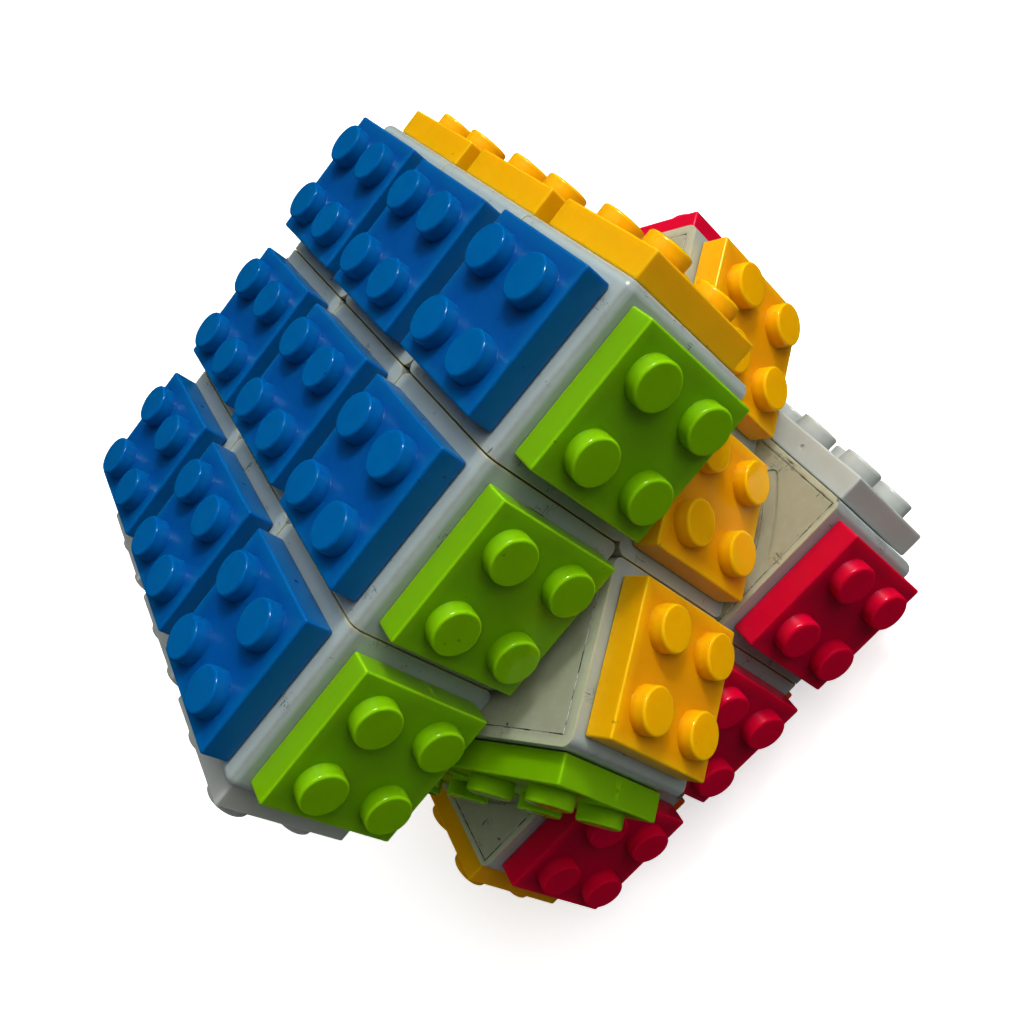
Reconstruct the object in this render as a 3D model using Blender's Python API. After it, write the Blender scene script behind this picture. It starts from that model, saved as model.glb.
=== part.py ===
"""Stud-tile twisty puzzle: a 3 x 3 x 3 cube with a 2 x 2 stud tile on every outer face of its cubies.

Its three layers are turned apart about Z. +Z leaves the blue face, and the green and the yellow
sides of the top layer face +X and +Y. The origin is the centre of the core, where all axes meet.
Inside, the core's six arms each carry a centre cubie on a screw and a spring. The feet of the edge
cubies reach under the centres, and the feet of the corner cubies reach under the edges.
"""

import itertools
import math

import bmesh
import bpy
from mathutils import Matrix, Vector

MM = 0.001

# Cubies
PITCH = 19 * MM
SEAM = 0.3 * MM
EDGE_CHAMFER = 0.9 * MM
HALF_CUBE = 1.5 * PITCH
NEAR_WALL = 0.5 * PITCH + 0.5 * SEAM
HALF_CUBIE = 0.5 * PITCH - 0.5 * SEAM

# Feet: a spherical shell round the core, parted on planes nearer the middle than the seams
FOOT_PLANE = 5.5 * MM
FOOT_OUTSIDE = 20 * MM
FOOT_INSIDE = 12 * MM
FOOT_CLEARANCE = 0.2 * MM
SPHERE_SEGMENTS = 24
NECK_INSET = 0.05 * MM

# Core, centre stems, screws and springs, as distances along an arm from the origin
CORE_BALL = 7 * MM
ARM_RADIUS = 3.2 * MM
ARM_END = 11 * MM
STEM_RADIUS = FOOT_PLANE - FOOT_CLEARANCE
STEM_START = ARM_END + 0.3 * MM
STEM_FLOOR = 1.5 * MM
STEM_TOP = 22 * MM
STEM_BORE = 3.6 * MM
SCREW_HOLE = 1.6 * MM
SCREW_START = 4.5 * MM
SCREW_RADIUS = 1.2 * MM
THREAD_HOLE = 1.45 * MM
SCREW_HEAD_START = 19 * MM
SCREW_HEAD_HEIGHT = 1.8 * MM
SCREW_HEAD_RADIUS = 2.7 * MM
SCREW_SLOT = 0.8 * MM
SPRING_RADIUS = 2.05 * MM
SPRING_WIRE = 0.3 * MM
SPRING_TURNS = 4
SPRING_STEPS = 8
SPRING_GAP = 0.3 * MM

# Tiles
STUD_PITCH = 8 * MM
STUD_RADIUS = 2.4 * MM
STUD_HEIGHT = 1.7 * MM
STUD_SIDES = 10
TILE_HALF = 7.9 * MM
TILE_THICKNESS = 3.2 * MM
TILE_SEAT_GAP = 0.1 * MM
OVERLAP = 0.2 * MM

# How far each layer is turned about Z
TWIST = {"top_layer": 0.0, "middle_layer": -54.5, "bottom_layer": 176.0}
LAYER_OF_HEIGHT = {1: "top_layer", 0: "middle_layer", -1: "bottom_layer"}
TILED_SEPARATELY = "top_layer"

COLOUR_OF_SIDE = {
    (1, 0, 0): "green",
    (-1, 0, 0): "red",
    (0, 1, 0): "yellow",
    (0, -1, 0): "white",
    (0, 0, 1): "blue",
    (0, 0, -1): "orange",
}
KIND_OF_COUNT = {1: "centre", 2: "edge", 3: "corner"}
TEMPLATE_CELL = {"centre": (0, 0, 1), "edge": (1, 1, 0), "corner": (1, 1, 1)}

FINISHES = {
    "body_white": ((0.80, 0.80, 0.77), 0.38, 0.0),
    "blue": ((0.004, 0.11, 0.42), 0.25, 0.0),
    "green": ((0.15, 0.38, 0.004), 0.25, 0.0),
    "yellow": ((0.93, 0.55, 0.004), 0.25, 0.0),
    "red": ((0.55, 0.004, 0.03), 0.25, 0.0),
    "white": ((0.85, 0.85, 0.84), 0.25, 0.0),
    "core_black": ((0.03, 0.03, 0.03), 0.45, 0.0),
    "steel": ((0.62, 0.62, 0.64), 0.3, 1.0),
}


def clear_scene():
    for obj in list(bpy.data.objects):
        bpy.data.objects.remove(obj)


def make_materials():
    materials = {}
    for name, (colour, roughness, metallic) in FINISHES.items():
        material = bpy.data.materials.new(name)
        material.use_nodes = True
        shader = material.node_tree.nodes["Principled BSDF"]
        shader.inputs["Base Color"].default_value = (*colour, 1)
        shader.inputs["Roughness"].default_value = roughness
        shader.inputs["Metallic"].default_value = metallic
        materials[name] = material
    return materials


def object_of(work, name):
    """A scene object that holds a bmesh, which it uses up."""
    bmesh.ops.recalc_face_normals(work, faces=work.faces)
    mesh = bpy.data.meshes.new(name)
    work.to_mesh(mesh)
    work.free()
    obj = bpy.data.objects.new(name, mesh)
    bpy.context.scene.collection.objects.link(obj)
    return obj


def add_block(work, low, high):
    """A box between two corners. Returns its edges."""
    low, high = Vector(low), Vector(high)
    size = Matrix.Diagonal((*(high - low), 1))
    place = Matrix.Translation((low + high) / 2) @ size
    corners = bmesh.ops.create_cube(work, size=1, matrix=place)["verts"]
    return list({edge for corner in corners for edge in corner.link_edges})


def add_rod(work, radius, start, end, sides=SPHERE_SEGMENTS, centre=(0, 0)):
    """A cylinder along Z, whose flats stay inside the radius."""
    place = Matrix.Translation((*centre, (start + end) / 2))
    bmesh.ops.create_cone(
        work,
        cap_ends=True,
        segments=sides,
        radius1=radius,
        radius2=radius,
        depth=end - start,
        matrix=place,
    )


def block(low, high, chamfer=0.0):
    work = bmesh.new()
    edges = add_block(work, low, high)
    if chamfer:
        bmesh.ops.bevel(work, geom=edges, offset=chamfer, segments=1, affect="EDGES")
    return object_of(work, "block")


def ball(radius):
    work = bmesh.new()
    bmesh.ops.create_uvsphere(
        work, u_segments=SPHERE_SEGMENTS, v_segments=SPHERE_SEGMENTS // 2, radius=radius
    )
    return object_of(work, "ball")


def rod(radius, start, end, sides=SPHERE_SEGMENTS):
    work = bmesh.new()
    add_rod(work, radius, start, end, sides)
    return object_of(work, "rod")


def combine(base, steps):
    """The mesh left when each (operation, tool) has acted on base. It uses up base and the tools."""
    for operation, tool in steps:
        modifier = base.modifiers.new(operation, "BOOLEAN")
        modifier.operation = operation
        modifier.object = tool
    graph = bpy.context.evaluated_depsgraph_get()
    mesh = bpy.data.meshes.new_from_object(base.evaluated_get(graph))
    for obj in [base] + [tool for _, tool in steps]:
        bpy.data.objects.remove(obj)
    return mesh


def shaped(mesh):
    obj = bpy.data.objects.new("shaped", mesh)
    bpy.context.scene.collection.objects.link(obj)
    return obj


def extent(cell, inner, half):
    """Low and high corners of a cell's region: inner to the cube's face, or half each way."""
    low = [inner if step else -half for step in cell]
    high = [HALF_CUBE if step else half for step in cell]
    return low, high


def cubie_block(cell):
    return block(*extent(cell, NEAR_WALL, HALF_CUBIE), EDGE_CHAMFER)


def foot(cell):
    """The part of the shell round the core that belongs to a corner or an edge cubie."""
    near = FOOT_PLANE + FOOT_CLEARANCE
    low, high = extent(cell, near, FOOT_PLANE - FOOT_CLEARANCE)
    return shaped(
        combine(
            block(low, high),
            [
                ("INTERSECT", ball(FOOT_OUTSIDE - FOOT_CLEARANCE)),
                ("DIFFERENCE", ball(FOOT_INSIDE + FOOT_CLEARANCE)),
            ],
        )
    )


def corner_mesh():
    cell = TEMPLATE_CELL["corner"]
    return combine(cubie_block(cell), [("UNION", foot(cell))])


def edge_mesh():
    """The neck joins the block to its own foot, where the ball has parted them."""
    cell = TEMPLATE_CELL["edge"]
    reach = FOOT_OUTSIDE + 4 * FOOT_CLEARANCE
    low, high = extent(cell, NEAR_WALL + NECK_INSET, FOOT_PLANE - FOOT_CLEARANCE)
    neck = block(low, [min(reach, top) for top in high])
    return combine(
        cubie_block(cell),
        [
            ("DIFFERENCE", ball(FOOT_OUTSIDE + FOOT_CLEARANCE)),
            ("UNION", neck),
            ("UNION", foot(cell)),
        ],
    )


def centre_mesh():
    """A block on a hollow stem. The screw passes through the stem's floor, and the spring presses on it."""
    return combine(
        cubie_block(TEMPLATE_CELL["centre"]),
        [
            ("DIFFERENCE", ball(FOOT_OUTSIDE + FOOT_CLEARANCE)),
            ("UNION", rod(STEM_RADIUS, STEM_START, STEM_TOP)),
            ("DIFFERENCE", rod(STEM_BORE, STEM_START + STEM_FLOOR, HALF_CUBE + OVERLAP)),
            ("DIFFERENCE", rod(SCREW_HOLE, STEM_START - OVERLAP, STEM_TOP, STUD_SIDES)),
        ],
    )


def tile_mesh(seat):
    """A tile on the +Z face, from the height of its seat up."""
    top = HALF_CUBE + TILE_THICKNESS
    plate = block((-TILE_HALF, -TILE_HALF, seat), (TILE_HALF, TILE_HALF, top))
    studs = bmesh.new()
    offsets = (-STUD_PITCH / 2, STUD_PITCH / 2)
    for place in itertools.product(offsets, offsets):
        add_rod(studs, STUD_RADIUS, top - OVERLAP, top + STUD_HEIGHT, STUD_SIDES, place)
    return combine(plate, [("UNION", object_of(studs, "studs"))])


def turn_to(side):
    """The rotation that takes +Z to a side of the cube."""
    return Vector((0, 0, 1)).rotation_difference(Vector(side)).to_matrix().to_4x4()


def tile_place(side, cell):
    """Where a tile made on the +Z face of the middle cell goes."""
    across = [0 if along else step for along, step in zip(side, cell)]
    return Matrix.Translation(Vector(across) * PITCH) @ turn_to(side)


def outer_sides(cell):
    """The sides that a cell shows, with Z first, then X, then Y."""
    sides = []
    for axis in (2, 0, 1):
        if cell[axis]:
            sides.append(tuple(cell[axis] if i == axis else 0 for i in range(3)))
    return sides


def with_tiles(mesh, cell, tile):
    """A cubie's mesh with its tiles joined on."""
    tools = []
    for side in outer_sides(cell):
        tool = shaped(tile.copy())
        tool.data.transform(tile_place(side, cell))
        tools.append(("UNION", tool))
    return combine(shaped(mesh.copy()), tools)


def cube_rotations():
    """The 24 rotations that take the cube to itself."""
    axes = [Vector(side) for side in COLOUR_OF_SIDE]
    for first, second in itertools.permutations(axes, 2):
        if not first.dot(second):
            yield Matrix((first, second, first.cross(second))).transposed()


def turn_between(start, end):
    """A rotation of the cube that takes one cell to another."""
    for turn in cube_rotations():
        if (turn @ Vector(start) - Vector(end)).length < 0.5:
            return turn.to_4x4()
    raise ValueError(f"no rotation takes {start} to {end}")


def core_mesh():
    """A ball with six arms, each drilled for its screw."""
    steps = []
    for radius, start, end, operation in (
        (ARM_RADIUS, 0, ARM_END, "UNION"),
        (THREAD_HOLE, SCREW_START - OVERLAP, ARM_END + OVERLAP, "DIFFERENCE"),
    ):
        for side in COLOUR_OF_SIDE:
            tool = rod(radius, start, end, STUD_SIDES)
            tool.data.transform(turn_to(side))
            steps.append((operation, tool))
    return combine(ball(CORE_BALL), steps)


def screw_mesh():
    head_end = SCREW_HEAD_START + SCREW_HEAD_HEIGHT
    slot_low = (-SCREW_HEAD_RADIUS * 2, -SCREW_SLOT / 2, head_end - SCREW_SLOT)
    slot_high = (SCREW_HEAD_RADIUS * 2, SCREW_SLOT / 2, head_end + SCREW_SLOT)
    return combine(
        rod(SCREW_RADIUS, SCREW_START, SCREW_HEAD_START + OVERLAP, STUD_SIDES),
        [
            ("UNION", rod(SCREW_HEAD_RADIUS, SCREW_HEAD_START, head_end, STUD_SIDES)),
            ("DIFFERENCE", block(slot_low, slot_high)),
        ],
    )


def spring_mesh():
    """A helix of square wire between the stem's floor and the screw's head."""
    start = STEM_START + STEM_FLOOR + SPRING_GAP + SPRING_WIRE
    end = SCREW_HEAD_START - SPRING_GAP - SPRING_WIRE
    steps = SPRING_TURNS * SPRING_STEPS
    work = bmesh.new()
    rings = []
    for step in range(steps + 1):
        angle = 2 * math.pi * step / SPRING_STEPS
        height = start + (end - start) * step / steps
        outward = Vector((math.cos(angle), math.sin(angle), 0))
        ring = []
        for across, up in ((1, 0), (0, 1), (-1, 0), (0, -1)):
            radius = SPRING_RADIUS + across * SPRING_WIRE
            spot = outward * radius + Vector((0, 0, height + up * SPRING_WIRE))
            ring.append(work.verts.new(spot))
        rings.append(ring)
    for lower, upper in itertools.pairwise(rings):
        for i in range(4):
            j = (i + 1) % 4
            work.faces.new((lower[i], lower[j], upper[j], upper[i]))
    work.faces.new(rings[0])
    work.faces.new(rings[-1])
    spring = object_of(work, "spring")
    mesh = spring.data
    bpy.data.objects.remove(spring)
    return mesh


def add_part(name, mesh, material, parent, place):
    part = bpy.data.objects.new(name, mesh)
    bpy.context.scene.collection.objects.link(part)
    part.parent = parent
    part.matrix_local = place
    if not part.material_slots:
        mesh.materials.append(material)
    part.material_slots[0].link = "OBJECT"
    part.material_slots[0].material = material
    return part


def add_layers():
    """An empty at the origin for each layer, turned about Z, which is its joint's axis."""
    layers = {}
    for name, degrees in TWIST.items():
        layers[name] = bpy.data.objects.new(name, None)
        layers[name].rotation_euler.z = math.radians(degrees)
        bpy.context.scene.collection.objects.link(layers[name])
    return layers


def main():
    clear_scene()
    materials = make_materials()
    layers = add_layers()

    loose_tile = tile_mesh(HALF_CUBE + TILE_SEAT_GAP)
    fixed_tile = tile_mesh(HALF_CUBE - OVERLAP)
    bare = {"corner": corner_mesh(), "edge": edge_mesh(), "centre": centre_mesh()}
    tiled = {kind: with_tiles(mesh, TEMPLATE_CELL[kind], fixed_tile) for kind, mesh in bare.items()}

    tile_number = dict.fromkeys(COLOUR_OF_SIDE.values(), 0)
    for cell in itertools.product((1, 0, -1), repeat=3):
        kind = KIND_OF_COUNT.get(sum(map(abs, cell)))
        if not kind:
            continue
        layer = LAYER_OF_HEIGHT[cell[2]]
        sides = outer_sides(cell)
        name = "_".join([kind] + [COLOUR_OF_SIDE[side] for side in sides])
        turn = turn_between(TEMPLATE_CELL[kind], cell)
        meshes = bare if layer == TILED_SEPARATELY else tiled
        add_part(name, meshes[kind], materials["body_white"], layers[layer], turn)
        if layer != TILED_SEPARATELY:
            continue
        for side in sides:
            colour = COLOUR_OF_SIDE[side]
            tile_number[colour] += 1
            name = f"tile_{colour}_{tile_number[colour]}"
            add_part(name, loose_tile, materials[colour], layers[layer], tile_place(side, cell))

    middle = layers["middle_layer"]
    screw, spring = screw_mesh(), spring_mesh()
    add_part("core_spider", core_mesh(), materials["core_black"], middle, Matrix())
    for side, colour in COLOUR_OF_SIDE.items():
        add_part(f"screw_{colour}", screw, materials["steel"], middle, turn_to(side))
        add_part(f"spring_{colour}", spring, materials["steel"], middle, turn_to(side))


main()
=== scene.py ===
# %% [markdown]
# # A stud-tile twisty puzzle
#
# The object is a 3 x 3 x 3 cube puzzle with its three layers turned apart. Every outer face of a cubie
# carries a square plastic tile with four round studs. The CAD frame already holds each cubie, tile, screw and
# spring in its place. This file leaves those places alone and makes the surfaces that are seen: rounded
# shells, filleted studs, and plastics with grime, scuffs and small marks.
#
# The frame comes first, since everything below is measured from it. Lengths are in metres, so a size in
# millimetres is a number times MM.

# %% Load the frame
import itertools
import math
import random

import bmesh
import bpy
import numpy as np
from mathutils import Matrix, Quaternion, Vector


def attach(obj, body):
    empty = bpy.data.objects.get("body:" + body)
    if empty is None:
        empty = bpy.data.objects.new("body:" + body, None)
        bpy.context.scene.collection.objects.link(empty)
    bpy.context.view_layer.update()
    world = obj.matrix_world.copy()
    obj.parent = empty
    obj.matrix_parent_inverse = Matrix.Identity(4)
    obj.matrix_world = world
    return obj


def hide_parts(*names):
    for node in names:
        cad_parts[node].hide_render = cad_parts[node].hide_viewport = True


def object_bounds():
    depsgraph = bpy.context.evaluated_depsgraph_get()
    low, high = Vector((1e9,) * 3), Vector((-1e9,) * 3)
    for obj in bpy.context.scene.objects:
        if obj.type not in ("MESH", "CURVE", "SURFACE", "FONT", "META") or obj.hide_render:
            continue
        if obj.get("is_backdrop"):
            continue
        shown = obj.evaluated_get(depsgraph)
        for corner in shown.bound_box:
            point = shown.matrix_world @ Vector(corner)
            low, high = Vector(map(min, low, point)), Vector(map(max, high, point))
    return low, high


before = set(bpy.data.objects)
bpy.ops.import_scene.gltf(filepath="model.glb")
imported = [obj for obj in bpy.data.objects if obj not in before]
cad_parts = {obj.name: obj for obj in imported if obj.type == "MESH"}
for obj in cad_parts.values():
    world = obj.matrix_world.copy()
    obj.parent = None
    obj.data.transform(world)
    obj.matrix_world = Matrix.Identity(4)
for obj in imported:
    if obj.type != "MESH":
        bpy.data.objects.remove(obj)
cad_low, cad_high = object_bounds()
MM = 0.001
print("CAD box in mm:", [round((high - low) / MM, 1) for low, high in zip(cad_low, cad_high)])

# %% [markdown]
# ## Driving sizes
#
# A twisty puzzle is a grid, so a handful of sizes gives the place of everything. The cubies sit 19 mm apart
# and the studs 8 mm apart. The rest are small: the seam between two cubies, and the rounding of each kind of
# edge. A size that only one piece needs stands beside that piece.

# %% Sizes
PITCH = 19 * MM
SEAM = 0.12 * MM
HALF_CUBE = 1.5 * PITCH
NEAR_WALL = 0.5 * PITCH + 0.5 * SEAM
HALF_CUBIE = 0.5 * PITCH - 0.5 * SEAM
SHELL_FILLET = 1.1 * MM
SEAM_FILLET = 0.1 * MM
FILLET_STEPS = 6
SEAM_STEPS = 2

STUD_PITCH = 8 * MM
STUD_RADIUS = 2.4 * MM
STUD_HEIGHT = 1.7 * MM
TILE_HALF = 7.9 * MM
TILE_THICKNESS = 3.2 * MM
TILE_SEAT_GAP = 0.1 * MM
PLATE_TOP = HALF_CUBE + TILE_THICKNESS
PLATE_SEAT = HALF_CUBE + TILE_SEAT_GAP
RIM_FILLET = 0.30 * MM
TILE_FILLET = 0.24 * MM
FOOT_FILLET = 0.05 * MM

UP = Vector((0, 0, 1))
SIDE_COLOURS = {
    (1, 0, 0): "green",
    (-1, 0, 0): "red",
    (0, 1, 0): "yellow",
    (0, -1, 0): "white",
    (0, 0, 1): "blue",
    (0, 0, -1): "orange",
}
stack_height = PLATE_TOP + STUD_HEIGHT
print(f"stud tops at {stack_height / MM:.1f} mm; the frame says {cad_high.z / MM:.1f} mm")

# %% [markdown]
# ## Which way each layer is turned
#
# Each layer is turned about Z by its own angle. The angle isn't typed in here: a piece that lies on a layer's
# green side has its middle on that layer's X axis, so the heading of its points gives the turn.


# %% Turn of each layer, read from the frame
def heading(node):
    """The angle about Z of the middle of a CAD node's points."""
    points = np.array([vertex.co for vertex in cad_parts[node].data.vertices])
    middle = points.mean(axis=0)
    return math.atan2(middle[1], middle[0])


LAYERS = {
    1: {"body": "top_layer", "turn": heading("edge_blue_green")},
    0: {"body": "core_and_middle_layer", "turn": heading("centre_green")},
    -1: {"body": "bottom_layer", "turn": heading("edge_orange_green")},
}
for layer in LAYERS.values():
    layer["matrix"] = Matrix.Rotation(layer["turn"], 4, "Z")
    print(layer["body"], "is turned", round(math.degrees(layer["turn"]), 1), "degrees")

# %% [markdown]
# ## Camera
#
# The lens is close to the object, which is why the near corner looks large and the far faces fall away. The
# camera is placed by its heading, its height above the horizon and its distance, and then rolled about its
# own line of sight.

# %% Camera
CAMERA_HEADING = math.radians(11.17)
CAMERA_ELEVATION = math.radians(39.60)
CAMERA_DISTANCE = 132.44 * MM
CAMERA_ROLL = math.radians(-58.18)
CAMERA_AIM = Vector((1.26, -0.02, -1.44)) * MM
CAMERA_LENS = 38.21
CAMERA_SHIFT = (0.0046, 0.0127)
CAMERA_NEAR = 5 * MM


def direction(heading_angle, elevation):
    """The unit vector that points that way from the middle of the object."""
    level = math.cos(elevation)
    return Vector((math.cos(heading_angle) * level, math.sin(heading_angle) * level, math.sin(elevation)))


camera = bpy.data.objects.new("camera", bpy.data.cameras.new("camera"))
bpy.context.scene.collection.objects.link(camera)
camera.location = direction(CAMERA_HEADING, CAMERA_ELEVATION) * CAMERA_DISTANCE
sight = (CAMERA_AIM - camera.location).to_track_quat("-Z", "Y")
camera.rotation_mode = "QUATERNION"
camera.rotation_quaternion = sight @ Quaternion(UP, CAMERA_ROLL)
camera.data.lens = CAMERA_LENS
camera.data.shift_x, camera.data.shift_y = CAMERA_SHIFT
camera.data.clip_start = CAMERA_NEAR
camera.data.dof.use_dof = False
bpy.context.scene.camera = camera
print("camera at", [round(value / MM, 1) for value in camera.location], "mm")

# %% [markdown]
# ## Small helpers for shader nodes
#
# The room, the plastics and the metals are all built from nodes in code. These helpers add a node, wire it,
# and open a node group whose inputs and outputs have plain names. Each piece carries a number, its seed, as a
# custom property. Patterns are moved by it, so that no two tiles have the same marks though they share one
# mesh.


# %% Node helpers
# A Mix node has one set of sockets for each kind of value. These are the ones for colours.
MIX_FACTOR, MIX_FIRST, MIX_SECOND, MIX_RESULT = 0, 6, 7, 2


def add_node(tree, kind, inputs=None, **settings):
    """A new node with its settings. An input is a number, a colour or another node's output socket."""
    node = tree.nodes.new(kind)
    for name, value in settings.items():
        setattr(node, name, value)
    for name, value in (inputs or {}).items():
        if isinstance(value, bpy.types.NodeSocket):
            tree.links.new(value, node.inputs[name])
        else:
            node.inputs[name].default_value = value
    return node


def calc(tree, operation, first, second=0.0, clamp=False):
    inputs = {0: first, 1: second}
    return add_node(tree, "ShaderNodeMath", inputs, operation=operation, use_clamp=clamp).outputs[0]


def vector_node(tree, operation, first, second):
    inputs = {0: first, 1: second}
    return add_node(tree, "ShaderNodeVectorMath", inputs, operation=operation).outputs["Vector"]


def band(tree, value, low, high, low_out=0.0, high_out=1.0):
    """Maps a value smoothly from low..high to low_out..high_out."""
    inputs = {"Value": value, "From Min": low, "From Max": high, "To Min": low_out, "To Max": high_out}
    return add_node(tree, "ShaderNodeMapRange", inputs, interpolation_type="SMOOTHSTEP").outputs["Result"]


def noise(tree, vector, scale, detail=2.0, roughness=0.5):
    inputs = {"Vector": vector, "Scale": scale, "Detail": detail, "Roughness": roughness}
    return add_node(tree, "ShaderNodeTexNoise", inputs).outputs["Fac"]


def mix_colours(tree, amount, first, second):
    inputs = {MIX_FACTOR: amount, MIX_FIRST: first, MIX_SECOND: second}
    return add_node(tree, "ShaderNodeMix", inputs, data_type="RGBA").outputs[MIX_RESULT]


def scale_colour(tree, colour, amount):
    """A colour made lighter or darker by a tone near 1."""
    inputs = {0: colour, "Scale": amount}
    return add_node(tree, "ShaderNodeVectorMath", inputs, operation="SCALE").outputs["Vector"]


# %% Node groups and what a piece tells its material
def new_group(name, inputs, outputs):
    """A node group of plain numbers. Inputs are {name: default}, and outputs are names."""
    tree = bpy.data.node_groups.new(name, "ShaderNodeTree")
    for label, default in inputs.items():
        socket = tree.interface.new_socket(label, in_out="INPUT", socket_type="NodeSocketFloat")
        socket.default_value = default
    for label in outputs:
        tree.interface.new_socket(label, in_out="OUTPUT", socket_type="NodeSocketFloat")
    return tree, tree.nodes.new("NodeGroupInput").outputs, tree.nodes.new("NodeGroupOutput").inputs


def attribute(tree, name, output="Fac", kind="GEOMETRY"):
    """A value that is kept on the mesh, or on the object if the kind is OBJECT."""
    return add_node(tree, "ShaderNodeAttribute", attribute_name=name, attribute_type=kind).outputs[output]


def own_axes(tree):
    """X, Y and Z of the piece as it was made, before it was put in its place."""
    return add_node(tree, "ShaderNodeSeparateXYZ", {0: attribute(tree, "own_place", "Vector")}).outputs


def seeded_place(tree):
    """The piece's own coordinates, moved by its seed."""
    seed = attribute(tree, "seed", kind="OBJECT")
    offset = add_node(tree, "ShaderNodeCombineXYZ", {"X": seed, "Y": seed}).outputs["Vector"]
    return vector_node(tree, "ADD", attribute(tree, "own_place", "Vector"), offset)


# %% [markdown]
# ## Light
#
# Three lamps light the yellow side. The window is small, and it draws the thin glints on the stud rims. A
# pane in the same place adds to the glints alone, as it is hidden from matt surfaces. The sky and the wall
# are large, and they give the soft shadows. A low fill lamp lights the far side. One bright room could do
# this too, but it would lie on glossy plastic as a grey haze. So the large lamps are hidden from reflections,
# and the room counts for little there, though it looks pale to the camera. The Standard view keeps saturated
# plastics as strong as they are, and the gamma below 1 deepens their shade.

# %% Lamps
# Heading and elevation in degrees, distance and side in metres, power in watts.
GLINT_LAMPS = {"window": (84, 42, 0.7, 0.12, 2.0), "pane": (84, 42, 0.7, 0.12, 3.0)}
SOFT_LAMPS = {
    "sky": (140, 52, 0.9, 0.8, 3.1),
    "wall": (54, 40, 1.0, 0.9, 7.6),
    "fill": (-108, 8, 1.0, 0.9, 5.0),
}


def add_lamp(name, heading_angle, elevation, distance, size, power):
    """A square lamp that faces the middle of the object."""
    lamp = bpy.data.objects.new(name, bpy.data.lights.new(name, "AREA"))
    lamp.data.size = size
    lamp.data.energy = power
    lamp.location = direction(math.radians(heading_angle), math.radians(elevation)) * distance
    lamp.rotation_mode = "QUATERNION"
    lamp.rotation_quaternion = (-lamp.location).to_track_quat("-Z", "Y")
    bpy.context.scene.collection.objects.link(lamp)
    return lamp


lamps = {name: add_lamp(name, *values) for name, values in (GLINT_LAMPS | SOFT_LAMPS).items()}
lamps["pane"].visible_diffuse = False
for name in SOFT_LAMPS:
    lamps[name].visible_glossy = False
print("lamps:", list(lamps))

# %% Room
ROOM_COLOUR = (0.93, 0.96, 1.0)
ROOM_STRENGTH = 0.06
ROOM_IN_GLOSS = 0.009
ROOM_SEEN = 0.85
VIEW_GAMMA = 0.8

room = bpy.data.worlds.new("pale_room")
room.use_nodes = True
background = room.node_tree.nodes["Background"]
background.inputs["Color"].default_value = (*ROOM_COLOUR, 1)
ray = add_node(room.node_tree, "ShaderNodeLightPath").outputs
strength = ROOM_STRENGTH
for kind, seen in (("Is Glossy Ray", ROOM_IN_GLOSS), ("Is Camera Ray", ROOM_SEEN)):
    inputs = {"Value": ray[kind], "To Min": strength, "To Max": seen}
    strength = add_node(room.node_tree, "ShaderNodeMapRange", inputs).outputs["Result"]
room.node_tree.links.new(strength, background.inputs["Strength"])
bpy.context.scene.world = room
bpy.context.scene.view_settings.view_transform = "Standard"
bpy.context.scene.view_settings.gamma = VIEW_GAMMA
print("room:", room.name)

# %% [markdown]
# ## Shared surface effects
#
# These effects turn up on more than one plastic, so each is one node group that any material can use.
#
# - **Mottle** is the slow, faint change of tone in moulded plastic, from the way it flowed and cooled.
# - **Handling** is the fine hairline scratching of a thing in use. It gives a height, a roughness and marks.
# - **Specks** are the few dark flecks and nicks that catch dirt.
# - **Grime** is the film that stays in corners and seams, where a finger never wipes it off.
# - **Hollows** paints shade on the plate between the studs of a tile and at the studs' feet, as a deeper
#   colour.
#
# Painted or scanned images could hold them too, but nodes stay sharp at any distance and cover every piece.


# %% Mottle
def mottle_group():
    inputs = {"Size": 0.004, "Strength": 0.1}
    tree, given, out = new_group("mottle", inputs, ["Tone"])
    scale = calc(tree, "DIVIDE", 1.0, given["Size"])
    cloud = noise(tree, seeded_place(tree), scale, detail=3.0, roughness=0.6)
    centred = calc(tree, "SUBTRACT", cloud, 0.5)
    swing = calc(tree, "MULTIPLY", centred, given["Strength"])
    tree.links.new(calc(tree, "ADD", swing, 1.0), out["Tone"])
    return tree


# %% Handling
# Each set of hairlines is noise that is turned by an angle, then stretched along the axis of small scale.
HAIRLINES = ((0.5, (0.06, 1.0, 1.0)), (2.1, (1.0, 0.05, 1.0)), (1.2, (1.0, 1.0, 0.08)))
HAIRLINE_SCALE = 9000.0
HAIRLINE_CUT = (0.68, 0.76)
PATCH_SCALE = 260.0
PATCH_CUT = (0.42, 0.68)
SCUFF_SCALE = 330.0
SCUFF_CUT = (0.60, 0.66)
SMUDGE_SCALE = 420.0
SMUDGE_SWING = 0.1
SCRATCH_DULLING = 0.25


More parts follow.
